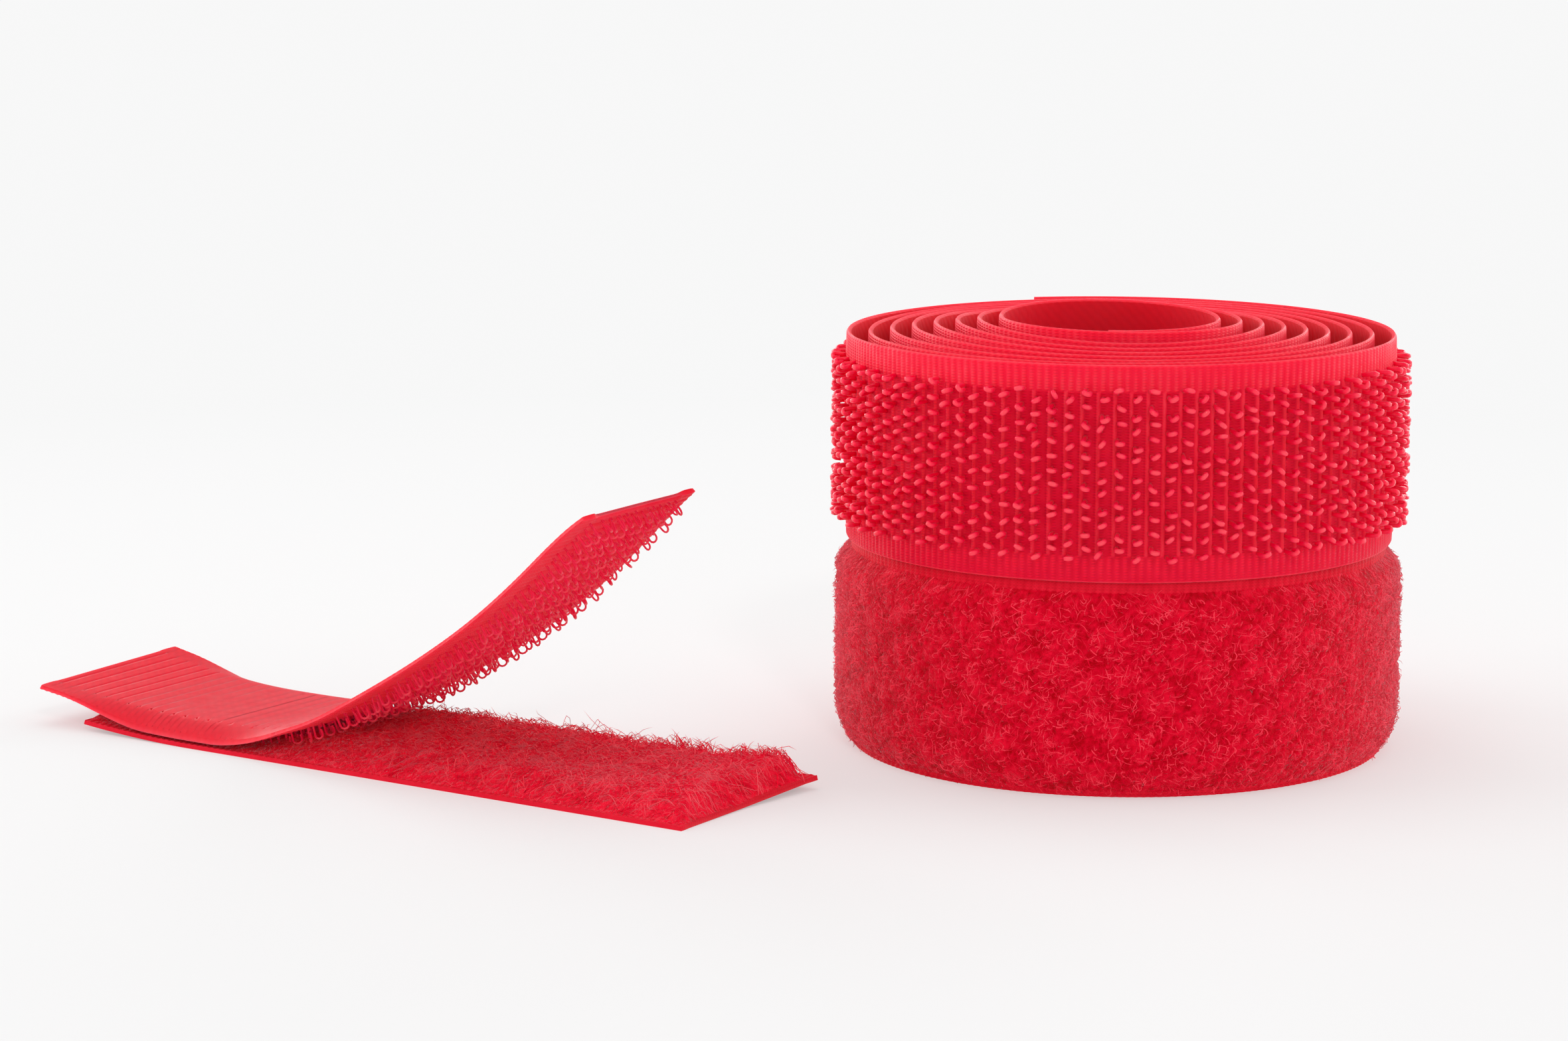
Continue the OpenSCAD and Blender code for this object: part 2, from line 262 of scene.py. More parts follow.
# %% Materials
def use_group(tree, group, **values):
    """A copy of a shared group in this material, with its own values."""
    node = tree.nodes.new("ShaderNodeGroup")
    node.node_tree = group
    for key, value in values.items():
        put(tree, node.inputs[key], value)
    return node.outputs


def red_by_tint(name, reds, rough, scale, spread, **constants):
    """A red that goes from deep to pale with the tint and its drift; also returns what later steps use."""
    material, tree, shader = new_material(name, **constants)
    tint = add(tree, "ShaderNodeAttribute", attribute_name="tint")
    drift = use_group(tree, nylon, Scale=scale)["Drift"]
    ramp = add(tree, "ShaderNodeValToRGB")
    ramp.color_ramp.elements[0].color, ramp.color_ramp.elements[1].color = reds[0], reds[2]
    ramp.color_ramp.elements.new(0.5).color = reds[1]
    wander = maths(tree, "MULTIPLY", drift, spread)
    put(tree, ramp.inputs["Fac"], maths(tree, "ADD", tint.outputs["Fac"], wander))
    put(tree, shader.inputs["Base Color"], ramp.outputs["Color"])
    put(tree, shader.inputs["Roughness"], ranged(tree, drift, rough + 0.08, rough - 0.08, -0.5, 0.5))
    return material, tree, shader, ramp, drift


def woven_red(name, reds, back_red, along, across, rough, **glow):
    """Woven nylon ground: red by tint on its face, a paler back, and a weave in relief and in colour, the
    colour being painted shade in its hollows and painted light on its threads.
    """
    material, tree, shader, ramp, drift = red_by_tint(
        name, reds, rough, 420.0, 0.25, Sheen_Weight=0.07, Sheen_Roughness=0.3, Sheen_Tint=(1, 0.7, 0.7, 1),
        Specular_IOR_Level=0.2, Specular_Tint=(1, 0.5, 0.5, 1), **glow)
    back = add(tree, "ShaderNodeAttribute", attribute_name="back").outputs["Fac"]
    height = use_group(tree, weave, Along=along, Across=across, Back=back)["Height"]
    sided = add(tree, "ShaderNodeMix", data_type="RGBA", Factor=back, A=ramp.outputs["Color"], B=back_red)
    # Painted shade and light: the weave's height darkens the red in its hollows and lightens it on its
    # threads.
    shaded = add(tree, "ShaderNodeMix", data_type="RGBA", blend_type="MULTIPLY", Factor=1.0,
                 A=sided.outputs["Result"], B=ranged(tree, height, 0.84, 1.08))
    bump = add(tree, "ShaderNodeBump", Strength=0.7, Distance=0.00006, Height=height)
    put(tree, shader.inputs["Base Color"], shaded.outputs["Result"])
    put(tree, shader.inputs["Normal"], bump.outputs["Normal"])
    return material


GLOW = {"Subsurface_Weight": 0.5, "Subsurface_Radius": (1.0, 0.2, 0.25), "Subsurface_Scale": 0.0007}
SHEEN = {"Sheen_Weight": 0.65, "Sheen_Roughness": 0.35, "Sheen_Tint": (1, 0.45, 0.5, 1)}
hook_ground = woven_red(
    "hook_tape_weave", [(0.76, 0.0, 0.030, 1), (0.92, 0.008, 0.044, 1), (0.98, 0.050, 0.080, 1)],
    back_red=(0.75, 0.009, 0.026, 1), along=38.0, across=13.7, rough=0.50, **GLOW)
loop_ground = woven_red(
    "loop_tape_weave", [(0.66, 0.0, 0.016, 1), (0.86, 0.008, 0.034, 1), (0.96, 0.045, 0.070, 1)],
    back_red=(0.76, 0.030, 0.044, 1), along=34.0, across=30.0, rough=0.55)
hook_strand = red_by_tint(
    "hook_monofilament", [(0.78, 0.0, 0.036, 1), (0.94, 0.012, 0.062, 1), (1.0, 0.07, 0.105, 1)],
    rough=0.16, scale=700.0, spread=0.15, IOR=1.53, **GLOW, Sheen_Weight=0.2, Sheen_Roughness=0.35,
    Sheen_Tint=(1, 0.45, 0.5, 1), Specular_IOR_Level=0.25, Specular_Tint=(1, 0.6, 0.6, 1))[0]
roll_strand = red_by_tint(
    "loop_fibres", [(0.52, 0.0, 0.010, 1), (0.74, 0.0, 0.022, 1), (0.98, 0.05, 0.085, 1)],
    rough=0.50, scale=700.0, spread=0.25, Specular_IOR_Level=0.03, **SHEEN)[0]
# The strip's fibres are the same nylon as the roll's; their paler reds are painted light.
strip_strand = red_by_tint(
    "long_loop_fibres", [(0.94, 0.0, 0.020, 1), (1.0, 0.004, 0.036, 1), (1.0, 0.11, 0.14, 1)],
    rough=0.50, scale=700.0, spread=0.25, Specular_IOR_Level=0.03)[0]
pile_felt, felt_tree, felt_shader, felt_ramp, felt_drift = red_by_tint(
    "loop_nap", [(0.48, 0.0, 0.006, 1), (0.68, 0.0, 0.016, 1), (0.86, 0.004, 0.030, 1)],
    rough=0.75, scale=1400.0, spread=0.7, Specular_IOR_Level=0.03, **SHEEN)
felt_bump = add(felt_tree, "ShaderNodeBump", Strength=0.8, Distance=0.0002, Height=felt_drift)
put(felt_tree, felt_shader.inputs["Normal"], felt_bump.outputs["Normal"])
finishes = (hook_ground, loop_ground, hook_strand, roll_strand, strip_strand, pile_felt)
print("materials", [finish.name for finish in finishes])

# %% [markdown]
# ## Paths
# A roll is a two-centre spiral: half turns about the eye, and half turns about a centre one step to its
# right, each a step wider than the last. A point u along the tape, v across it and h above the middle of
# its ground then has a simple place. The strips follow a plain curve in the same way.

# %% Paths of the two windings
EYE_START, HALF_TURNS, TAIL_FROM, TAIL_ANGLE = -97.0, 16, 60.0, 40.0
TAIL_HINGE = 180 * HALF_TURNS + TAIL_FROM
TAIL_END = TAIL_HINGE + TAIL_ANGLE
OUTER_TURN = 370


class Winding:
    """The spiral of one roll. lay() puts flat points on it, along() gives u at a winding angle."""

    def __init__(self, eye_radius, step, foot):
        self.step, self.foot = step, foot
        self.radius = eye_radius + GROUND / 2 + step * np.arange(HALF_TURNS + 1)
        self.start = np.radians(np.r_[EYE_START, 180.0 * np.arange(1, HALF_TURNS + 1)])
        sweep = np.diff(np.r_[self.start, math.radians(TAIL_END)])
        self.reach = np.r_[0, np.cumsum(self.radius * sweep)]
        self.length = self.reach[-1]

    def half(self, u):
        return np.clip(np.searchsorted(self.reach, u, side="right") - 1, 0, HALF_TURNS)

    def angle(self, u):
        i = self.half(u)
        return self.start[i] + (u - self.reach[i]) / self.radius[i]

    def along(self, degrees):
        i = max(0, int(degrees // 180))
        return self.reach[i] + (math.radians(degrees) - self.start[i]) * self.radius[i]

    def lay(self, flat):
        u, v, h = flat.T
        i, a = self.half(u), self.angle(u)
        r = self.radius[i] + h
        return np.stack([(i % 2) * self.step + r * np.cos(a), r * np.sin(a), self.foot + v + self.lift(u)], 1)

    def lift(self, u):
        return np.zeros_like(u)


class HookWinding(Winding):
    """The hook roll's inner turns have slid up: evenly at the sides, the last two at the front and back."""

    SLIDE, TILT, WANDER = 1.5 * MM, 0.22 * MM, 0.08 * MM
    SLID_TURNS, STEP_FROM, STEP_OVER = 6.8, 0.8, 1.6

    def lift(self, u):
        angle = self.angle(u)
        turn = (angle - self.start[0]) / (2 * math.pi)
        even = np.clip(1 - turn / self.SLID_TURNS, 0, 1)
        last = 1 - np.clip((turn - self.STEP_FROM) / self.STEP_OVER, 0, 1)
        last = 0.2 * even + 0.8 * last * last * (3 - 2 * last)
        side = np.cos(angle) ** 2
        height = self.SLIDE + self.TILT * (np.sin(angle) - np.cos(angle))
        wander = self.WANDER * np.sin(1.15 * angle + 1.0) * np.clip(8.2 - turn, 0, 1)
        return height * (side * even + (1 - side) * last) + wander


hook_eye = mounts["hook_roll_eye"]["dims"]["r_mm"] * MM
loop_eye = mounts["loop_roll_eye"]["dims"]["r_mm"] * MM
tail_pin = {name: np.hypot(*joints[name]["pos_m"][:2]) for name in ("hook_tail_pull", "loop_tail_pull")}
hook_step = (tail_pin["hook_tail_pull"] - hook_eye - GROUND) / HALF_TURNS
loop_step = (tail_pin["loop_tail_pull"] - loop_eye - GROUND) / HALF_TURNS
hook_path = HookWinding(hook_eye, hook_step, HOOK_ROLL_FOOT)
loop_path = Winding(loop_eye, loop_step, 0.0)
print("hook tape", round(hook_path.length, 4), "m and loop tape", round(loop_path.length, 4), "m, steps",
      round(hook_path.step / MM, 4), round(loop_path.step / MM, 4), "mm")

# %% [markdown]
# ## The woven ground
# The ground is a flat band. A grid is added, its lines are moved to the places across the tape where the
# selvedges and the hook field begin, its points are raised to the ribs, and Solidify gives it a thickness.
# The ribs of the plain selvedges run across the tape; between the columns of hooks runs a narrow ridge.
# The flat map is stored before the tape is wound, so the weave follows the tape round every turn.

# %% Flat tape
def points_of(mesh):
    """A mesh's points as an array."""
    flat = np.empty(3 * len(mesh.vertices))
    mesh.vertices.foreach_get("co", flat)
    return flat.reshape(-1, 3)


def from_edge(v):
    """Distance from the nearer edge of the tape."""
    return np.minimum(v, TAPE_WIDTH - v)


def store(piece, name, values):
    """Stores a number at each point of a piece, for its finish to read."""
    piece.data.attributes.new(name, "FLOAT", "POINT").data.foreach_set("value", np.clip(values, 0, 1))


def flat_tape(name, start, end, columns, lines, relief, thickness=0.0):
    """A flat band from start to end with lines across it at these places, raised by relief(u, v)."""
    bpy.ops.object.select_all(action="DESELECT")
    bpy.ops.mesh.primitive_grid_add(x_subdivisions=columns, y_subdivisions=len(lines) - 1, size=1)
    tape = bpy.context.object
    tape.name = tape.data.name = name
    grid = points_of(tape.data) + 0.5
    u = start + (end - start) * grid[:, 0]
    v = np.asarray(lines)[np.rint(grid[:, 1] * (len(lines) - 1)).astype(int)]
    flat = np.stack([u, v, relief(u, v)], 1)
    tape.data.vertices.foreach_set("co", flat.ravel())
    corner = np.empty(len(tape.data.loops), dtype=np.int32)
    tape.data.loops.foreach_get("vertex_index", corner)
    tape.data.uv_layers[0].name = "tape_flat"
    tape.data.uv_layers[0].data.foreach_set("uv", (100 * flat[corner, :2]).ravel())
    tape.data.update()
    if thickness:
        bpy.ops.object.modifier_add(type="SOLIDIFY")
        tape.modifiers[-1].thickness = thickness
        tape.modifiers[-1].offset = -1
        bpy.ops.object.modifier_apply(modifier=tape.modifiers[-1].name)
        both = points_of(tape.data)
        both[:, 2] = np.where(both[:, 2] < 0, -0.5 * thickness, both[:, 2])
        tape.data.vertices.foreach_set("co", both.ravel())
    return tape


def tone_ground(tape, tone, painted_rim):
    """Tints a flat tape by tone(v, height above its face) and its rims by a tint of their own, a painted
    highlight on the hook tapes and painted shade on the loop tapes, and marks its back.
    """
    u, v, h = points_of(tape.data).T
    store(tape, "tint", np.where(from_edge(v) < 0.1 * MM, painted_rim, tone(v, h - GROUND / 2)))
    store(tape, "back", (h < 0) & (from_edge(v) > 0.1 * MM))


outward = {}


def lay(piece, path):
    """Moves a flat piece onto its path, and keeps which way is outward at each point."""
    flat = points_of(piece.data)
    laid = path.lay(flat)
    outward[piece.name] = (path.lay(flat + np.array([0, 0, 0.1 * MM])) - laid) / (0.1 * MM)
    piece.data.vertices.foreach_set("co", laid.ravel())
    piece.data.update()


def soften(piece, share):
    """Turns a piece's shading part of the way outward, as light that passes through fine strands does."""
    own = np.empty(3 * len(piece.data.vertices))
    piece.data.vertex_normals.foreach_get("vector", own)
    mixed = share * outward[piece.name] + (1 - share) * own.reshape(-1, 3)
    piece.data.normals_split_custom_set_from_vertices(mixed / np.linalg.norm(mixed, axis=1, keepdims=True))


def dress(piece, material, nodes=(), crease=50, soft=0.0):
    """Gives a piece its finish and smooth shading up to a crease, and hides the parts of model.glb that it
    stands for.
    """
    piece.data.materials.clear()
    piece.data.materials.append(material)
    bpy.ops.object.select_all(action="DESELECT")
    piece.select_set(True)
    bpy.context.view_layer.objects.active = piece
    bpy.ops.object.shade_smooth_by_angle(angle=math.radians(crease))
    if soft:
        soften(piece, soft)
        piece.visible_shadow = piece.visible_diffuse = soft < 0.35
    if nodes:
        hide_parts(*nodes)
    triangles = sum(len(face.vertices) - 2 for face in piece.data.polygons)
    print(piece.name, triangles, "triangles")


# %% Ribs of the hook tape
RIB, COLUMN = 0.73 * MM, 1.48 * MM
SELVEDGE = 2.45 * MM


def hook_relief(u, v):
    """The face that carries the hooks: ribs on the selvedges, ridges between the columns of hooks."""
    rib = (0.5 + 0.5 * np.cos(2 * math.pi * u / RIB)) ** 1.3 * np.clip(from_edge(v) / (0.5 * MM), 0, 1)
    ridge = np.clip(1 - np.abs((u / COLUMN) % 1 - 0.5) / 0.16, 0, 1)
    height = np.where(from_edge(v) < SELVEDGE, 0.13 * rib, 0.24 * ridge)
    worn = 0.10 * np.clip(1 - from_edge(v) / (0.15 * MM), 0, 1)
    return GROUND / 2 + (height - worn) * MM


def hook_light_and_shade(v, raised):
    """Painted light and shade: deep red between the hooks as painted shade, paler on the selvedges, the one
    at v = 0 kept deeper as painted shade from the hooks above it on the roll, and palest on the ribs and
    ridges as a painted highlight.
    """
    lit_crest = np.clip(raised / (0.12 * MM), 0, 1)
    # Painted shade: the selvedge at v = 0, under the roll's hooks, starts deeper than the other.
    plain = np.where(v < SELVEDGE, 0.08, 0.40)
    return np.where(from_edge(v) < SELVEDGE, plain + 0.45 * lit_crest, 0.05 + 0.65 * lit_crest)


def strip_tone(v, raised):
    """The strip's tape is a little more even, because light comes through it from behind."""
    return 0.55 + 0.4 * hook_light_and_shade(v, raised)


def across(*places):
    """Lines across the tape in mm from one edge, mirrored about its middle."""
    half = np.array(places) * MM
    return np.r_[half, TAPE_WIDTH / 2, (TAPE_WIDTH - half)[::-1]]


def columns_for(start, end, pitch):
    return int(round((end - start) / pitch))


TAIL_BEND = 4 * MM
hook_hinge, loop_hinge = hook_path.along(TAIL_HINGE), loop_path.along(TAIL_HINGE)
outer_from = hook_path.along(TAIL_END - OUTER_TURN)
hook_split = hook_hinge - 2 * TAIL_BEND
selvedge_lines, field_lines = across(0, 0.2, 2.4), across(0, 0.2, 2.3, 2.6)
hook_inner = flat_tape("hook_roll_inner_turns", 0, outer_from, columns_for(0, outer_from, RIB / 4),
                       selvedge_lines, hook_relief, GROUND)
hook_outer = flat_tape("hook_roll_outer_turn", outer_from, hook_split,
                       columns_for(outer_from, hook_split, COLUMN / 12), field_lines, hook_relief, GROUND)
hook_tail = flat_tape("hook_roll_tail", hook_split, hook_path.length,
                      columns_for(hook_split, hook_path.length, COLUMN / 12), field_lines,
                      hook_relief, GROUND)
for tape in (hook_inner, hook_outer, hook_tail):
    # The rims get tint 1.0: a painted highlight on the cut edges.
    tone_ground(tape, hook_light_and_shade, 1.0)
    lay(tape, hook_path)
dress(hook_inner, hook_ground)
dress(hook_outer, hook_ground, ["hook_roll_tape"])
dress(hook_tail, hook_ground, ["hook_roll_tail_tape"])

# %% [markdown]
# ## The hooks
# Every hook is a short piece of thick nylon strand that rises from the ground, bends over along the tape
# and points down again. One hook is modelled from a small polygon: its face is extruded up, then extruded
# and turned a little at a time about the middle of the bend. The copies stand in staggered rows, each with
# a slightly different turn, lean, height and tint, and are then wound with the tape.

# %% One hook
def model_hook(name, sides, strand, bends, height, reach, stub):
    """One hook as (points, faces), foot at the origin, bent over towards +x, and the stub beside it."""
    bpy.ops.object.select_all(action="DESELECT")
    bpy.ops.mesh.primitive_circle_add(vertices=sides, radius=strand / 2, fill_type="NGON")
    hook = bpy.context.object
    hook.name = name
    radius = reach / 2
    stem = height - radius - strand / 2
    bpy.ops.object.mode_set(mode="EDIT")
    bpy.ops.mesh.select_all(action="SELECT")
    bpy.ops.mesh.extrude_region_move(TRANSFORM_OT_translate={"value": (0, 0, stem)})
    for _ in range(bends):
        bpy.ops.mesh.extrude_region_move(TRANSFORM_OT_translate={"value": (0, 0, 0)})
        bpy.ops.transform.rotate(value=-math.radians(190) / bends, orient_axis="Y",
                                 center_override=(radius, 0, stem))
    bpy.ops.mesh.extrude_region_move(TRANSFORM_OT_translate={"value": (-0.08 * reach, 0, -0.35 * stem)})
    if stub:
        bpy.ops.mesh.primitive_circle_add(vertices=sides, radius=strand / 2, fill_type="NGON",
                                          location=(reach, 0, 0))
        bpy.ops.mesh.extrude_region_move(TRANSFORM_OT_translate={"value": (0.1 * reach, 0, stub)})
    bpy.ops.mesh.select_all(action="SELECT")
    bpy.ops.mesh.normals_make_consistent(inside=False)
    bpy.ops.object.mode_set(mode="OBJECT")
    points = points_of(hook.data)
    faces = [list(face.vertices) for face in hook.data.polygons]
    bpy.data.objects.remove(hook)
    print(name, len(faces), "faces, from", points.min(0).round(5), "to", points.max(0).round(5))
    return points, faces


full_hook = model_hook("hook", 6, 0.46 * MM, 8, HOOK_HEIGHT + 0.12 * MM, 0.52 * MM, 0)
thin_hook = model_hook("thin_hook", 5, 0.22 * MM, 6, HOOK_HEIGHT + 0.12 * MM, 0.84 * MM, 0.5 * MM)
plain_hook = model_hook("plain_hook", 4, 0.25 * MM, 3, HOOK_HEIGHT - 0.06 * MM, 0.80 * MM, 0)


# %% Fields of hooks
def copies(name, points, faces, tints):
    """One mesh of many copies: points is (copies, points of one, 3), tints is (copies, points of one)."""
    count, each = points.shape[:2]
    corners = np.concatenate([np.array(face) for face in faces])
    sizes = np.tile([len(face) for face in faces], count)
    mesh = bpy.data.meshes.new(name)
    mesh.vertices.add(count * each)
    mesh.vertices.foreach_set("co", points.ravel())
    mesh.loops.add(len(corners) * count)
    indices = (corners + each * np.arange(count)[:, None]).ravel().astype(np.int32)
    mesh.loops.foreach_set("vertex_index", indices)
    mesh.polygons.add(len(sizes))
    mesh.polygons.foreach_set("loop_start", np.r_[0, np.cumsum(sizes)[:-1]].astype(np.int32))
    mesh.update(calc_edges=True)
    piece = bpy.data.objects.new(name, mesh)
    bpy.context.collection.objects.link(piece)
    store(piece, "tint", np.broadcast_to(tints, (count, each)).ravel())
    return piece


ROW = 1.45 * MM
ROWS = 11


def hook_field(name, start, end, model, seed, rows=range(ROWS), shade=0.1):
    """Hooks in staggered columns from start to end along a flat tape."""
    points, faces = model
    draw = np.random.default_rng(seed)
    columns = np.arange(math.ceil(start / COLUMN + 0.25), math.floor(end / COLUMN - 0.25) + 1)
    column, row = [grid.ravel() for grid in np.meshgrid(columns, np.array(list(rows)), indexing="ij")]
    stagger = np.where(column % 2 == 0, -0.25, 0.25)
    v = TAPE_WIDTH / 2 + (row - (ROWS - 1) / 2 + stagger) * ROW
    count = len(v)
    u = column * COLUMN - 0.42 * MM + draw.normal(0, 0.06, count) * MM
    v = v + draw.normal(0, 0.10, count) * MM
    turn = np.where(column % 2 == 0, 0.45, -0.35) + draw.normal(0, 0.26, count)
    tall = draw.uniform(0.88, 1.0, count)
    lean = draw.normal(0, 0.12, count)
    x, y, z = [np.repeat(points[None, :, k], count, 0) for k in range(3)]
    z = z * tall[:, None]
    y = y + lean[:, None] * z
    c, s = np.cos(turn)[:, None], np.sin(turn)[:, None]
    flat = np.stack([u[:, None] + c * x - s * y, v[:, None] + s * x + c * y, GROUND / 2 - 0.04 * MM + z], 2)
    # Painted highlight and shade: each hook is paled near the top of its bend and kept deep lower down.
    painted_crown_highlight = np.clip((points[:, 2] / points[:, 2].max() - 0.72) / 0.26, 0, 1) ** 1.5
    tints = shade + 0.8 * painted_crown_highlight + draw.uniform(-0.1, 0.2, count)[:, None]
    piece = copies(name, flat, faces, tints)
    print(name, count, "hooks")
    return piece


outer_hooks = hook_field("hook_roll_outer_hooks", outer_from, hook_split, full_hook, 11)
tail_hooks = hook_field("hook_roll_tail_hooks_piece", hook_split, hook_path.length - 0.3 * MM, full_hook, 12)
inner_hooks = hook_field("hook_roll_inner_hooks", hook_path.along(0), outer_from, plain_hook, 13,
                         rows=(0, 1, 9, 10))
for field in (outer_hooks, tail_hooks, inner_hooks):
    lay(field, hook_path)
quarters = [f"hook_roll_{quarter}_hooks"
            for quarter in ("back_left", "front_left", "front_right", "back_right")]
dress(outer_hooks, hook_strand, quarters, crease=180, soft=0.3)
dress(tail_hooks, hook_strand, ["hook_roll_tail_hooks"], crease=180, soft=0.3)
dress(inner_hooks, hook_strand, crease=95)

# %% [markdown]
# ## The loop roll
# The loop tape has the same kind of ground, and on it a dense nap of fine loops that has been brushed. The
# nap is made in two layers. A lumpy felt gives it body, and its pits are painted deep red as painted shade.
# Many thousands of single fibres over it give it light, sparkle and a soft outline; low ones and those in
# pits are painted deeper as painted shade, high ones paler as painted light, and a few pale ones are painted
# sparkle. The felt is a flat band again, with a relief of crossing waves. Each fibre is a thin three-sided
# strand: most are arches with both feet in the felt, and some are loose ends that stand up.

# %% Ground and felt of the loop roll
def crossing_waves(x, y, seed, length, count=16):
    """A soft random relief with a spread of about 1, made of waves that cross at random."""
    draw = np.random.default_rng(seed)
    turns, phases = draw.uniform(0, 2 * math.pi, (2, count))
    lengths = length * draw.uniform(0.6, 1.6, count)
    total = sum(np.cos(2 * math.pi * (x * math.cos(t) + y * math.sin(t)) / w + p)
                for t, p, w in zip(turns, phases, lengths))
    return total / math.sqrt(count / 2)


def loop_relief(u, v):
    """The ground's face under the nap: fine ribs on its bare edges."""
    rib = 0.5 + 0.5 * np.cos(2 * math.pi * u / RIB)
    return GROUND / 2 + np.where(from_edge(v) < 1.0 * MM, 0.07 * rib, 0) * MM


# Painted shade: the loop tape's bare ground is kept deep red, with a painted highlight on its rib crests.
def loop_light_and_shade(v, raised):
    return 0.1 + 0.3 * np.clip(raised / (0.06 * MM), 0, 1)


BARE_EDGE, BARE_TOP = 0.35 * MM, 0.95 * MM


def lumps(u, v, seed=21):
    """The unevenness of a brushed nap, in metres."""
    fine, coarse = crossing_waves(u, v, seed, 0.68 * MM), crossing_waves(u, v, seed + 1, 3.2 * MM)
    return (fine * 0.08 + coarse * 0.05) * MM


def rounded(inward):
    """A shoulder that rises from 0 to 1 as inward does."""
    return np.sin(np.clip(inward, 0, 1) * math.pi / 2)


def roll_felt(u, v):
    """The nap of the loop roll: a lumpy band with a long shoulder at its foot and a short one at its top."""
    edge = np.minimum((v - BARE_EDGE) / (3.4 * MM), (TAPE_WIDTH - BARE_TOP - v) / (2.0 * MM))
    shoulder = rounded(np.minimum(edge, (loop_path.length - 0.1 * MM - u) / (1.2 * MM)))
    return GROUND / 2 + shoulder * (1.2 * MM + lumps(u, v)) - (1 - shoulder) * 0.05 * MM


def felt_lines(bare, count):
    """Lines across a felt: closer together on its shoulders."""
    return np.r_[0, 0.2, 0.5, np.linspace(0.9, 19.1 - 2 * bare, count), 19.5 - 2 * bare, 19.8 - 2 * bare,
                 20 - 2 * bare] * MM + bare * MM


loop_outer_from = loop_path.along(TAIL_END - OUTER_TURN)
loop_split = loop_hinge - 2 * TAIL_BEND
bands = [("inner_turns", 0, loop_outer_from, RIB / 2), ("outer_turn", loop_outer_from, loop_split, RIB / 6),
         ("tail", loop_split, loop_path.length, RIB / 6)]
loop_tapes, loop_felts = {}, {}
for part, start, end, pitch in bands:
    tape = flat_tape("loop_roll_" + part, start, end, columns_for(start, end, pitch), across(0, 0.9, 1.1),
                     loop_relief, GROUND)
    # The rims and the bare ground are kept deep: painted shade.
    tone_ground(tape, loop_light_and_shade, 0.1)
    inner = part == "inner_turns"
    felt_start = loop_path.along(0) if inner else start
    felt = flat_tape("loop_roll_" + part + "_felt", felt_start, end,
                     columns_for(felt_start, end, 1.0 * MM if inner else 0.25 * MM),
                     felt_lines(0.35, 12 if inner else 54), roll_felt)
    # Painted shade and light: the felt's tint follows its lumps, deeper in the pits and paler on the tops.
    store(felt, "tint", 0.5 + lumps(*points_of(felt.data).T[:2]) / (0.25 * MM))
    for piece in (tape, felt):
        lay(piece, loop_path)
    loop_tapes[part], loop_felts[part] = tape, felt

stands_for = {"inner_turns": ([], ["loop_roll_inner_pile"]),
              "outer_turn": (["loop_roll_tape"], ["loop_roll_pile"]),
              "tail": (["loop_roll_tail_tape"], ["loop_roll_tail_pile"])}
for part, (ground_nodes, pile_nodes) in stands_for.items():
    dress(loop_tapes[part], loop_ground, ground_nodes)
    dress(loop_felts[part], pile_felt, pile_nodes)


# %% Fibres
def fibre_faces(rings):
    """Faces of one three-sided fibre: rings of three points between two end points."""
    last = 3 * rings
    faces = [[3 * r + k, 3 * r + (k + 1) % 3, 3 * r + 3 + (k + 1) % 3, 3 * r + 3 + k]
             for r in range(rings - 1) for k in range(3)]
    faces += [[last, (k + 1) % 3, k] for k in range(3)]
    faces += [[last + 1, last - 3 + k, last - 3 + (k + 1) % 3] for k in range(3)]
    return faces


def strands(name, path, thickness, tints, surface):
    """One mesh of fibres along paths of some points each, in flat tape coordinates, laid on surface."""
    middle = path[:, 1:-1]
    ahead = path[:, 2:] - path[:, :-2]
    ahead /= np.linalg.norm(ahead, axis=2, keepdims=True)
    side = np.cross(ahead, np.array([0.31, 0.47, 0.83]))
    side /= np.linalg.norm(side, axis=2, keepdims=True)
    other = np.cross(ahead, side)
    reach = thickness[:, None, None] / 2
    ring = [middle + reach * (math.cos(a) * side + math.sin(a) * other)
            for a in (0, 2 * math.pi / 3, 4 * math.pi / 3)]
    rings = np.stack(ring, 2).reshape(len(path), -1, 3)
    points = np.concatenate([rings, path[:, :1], path[:, -1:]], 1)
    piece = copies(name, points, fibre_faces(middle.shape[1]), tints[:, None])
    lay(piece, surface)
    print(name, len(path), "fibres")
    return piece


